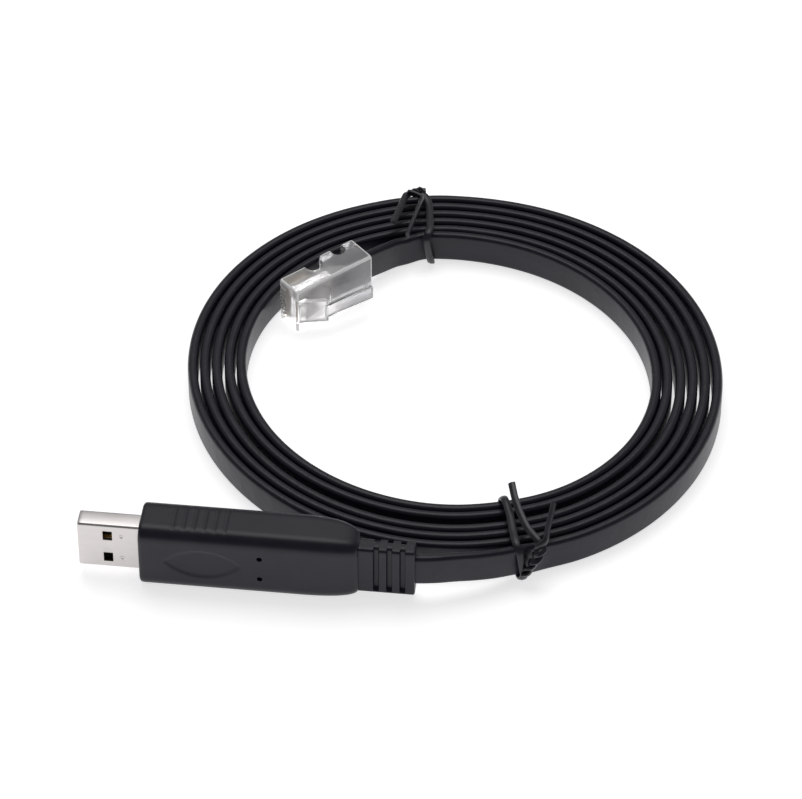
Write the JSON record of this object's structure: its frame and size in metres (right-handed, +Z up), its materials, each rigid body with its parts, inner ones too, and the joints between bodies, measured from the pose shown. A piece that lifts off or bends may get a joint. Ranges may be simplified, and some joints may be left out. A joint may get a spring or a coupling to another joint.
{
  "type": "usb to rj45 console cable",
  "caption": "Flat black cable coiled on edge and held by two wire ties, with a USB plug in a long moulded housing at one end and a clear modular plug at the other.",
  "frame": {"origin": "middle of the model's bounding box, on the floor it lies on", "axes": "+Z up, with the coil flat on the floor; the USB plug lies parallel to X and points to -X; the plug side of the coil faces -Y"},
  "size_m": [0.1336, 0.1296, 0.016],
  "materials": {
    "plug_shell": "nickel plated, satin",
    "plug_tongue": "moulded plastic",
    "contact_plating": "gold plated",
    "housing_moulding": "satin moulded plastic",
    "cable_jacket": "smooth satin jacket",
    "clear_plug": "clear moulded polycarbonate",
    "conductor_sleeve": "coloured wire insulation",
    "tie_coating": "plastic coated wire"
  },
  "bodies": {
    "root": {"usb_shell": "plug_shell", "usb_tongue": "plug_tongue", "usb_contact_1": "contact_plating", "usb_contact_2": "contact_plating", "usb_contact_3": "contact_plating", "usb_contact_4": "contact_plating", "usb_housing": "housing_moulding", "strain_relief": "housing_moulding", "cable_usb_lead": "cable_jacket", "cable_coil": "cable_jacket", "cable_plug_lead": "cable_jacket", "rj45_body": "clear_plug", "conductor_1": "conductor_sleeve", "conductor_2": "conductor_sleeve", "conductor_3": "conductor_sleeve", "conductor_4": "conductor_sleeve", "conductor_5": "conductor_sleeve", "conductor_6": "conductor_sleeve", "conductor_7": "conductor_sleeve", "conductor_8": "conductor_sleeve", "rj45_contact_1": "contact_plating", "rj45_contact_2": "contact_plating", "rj45_contact_3": "contact_plating", "rj45_contact_4": "contact_plating", "rj45_contact_5": "contact_plating", "rj45_contact_6": "contact_plating", "rj45_contact_7": "contact_plating", "rj45_contact_8": "contact_plating", "wire_tie_front": "tie_coating", "wire_tie_back": "tie_coating"}
  },
  "joints": []
}
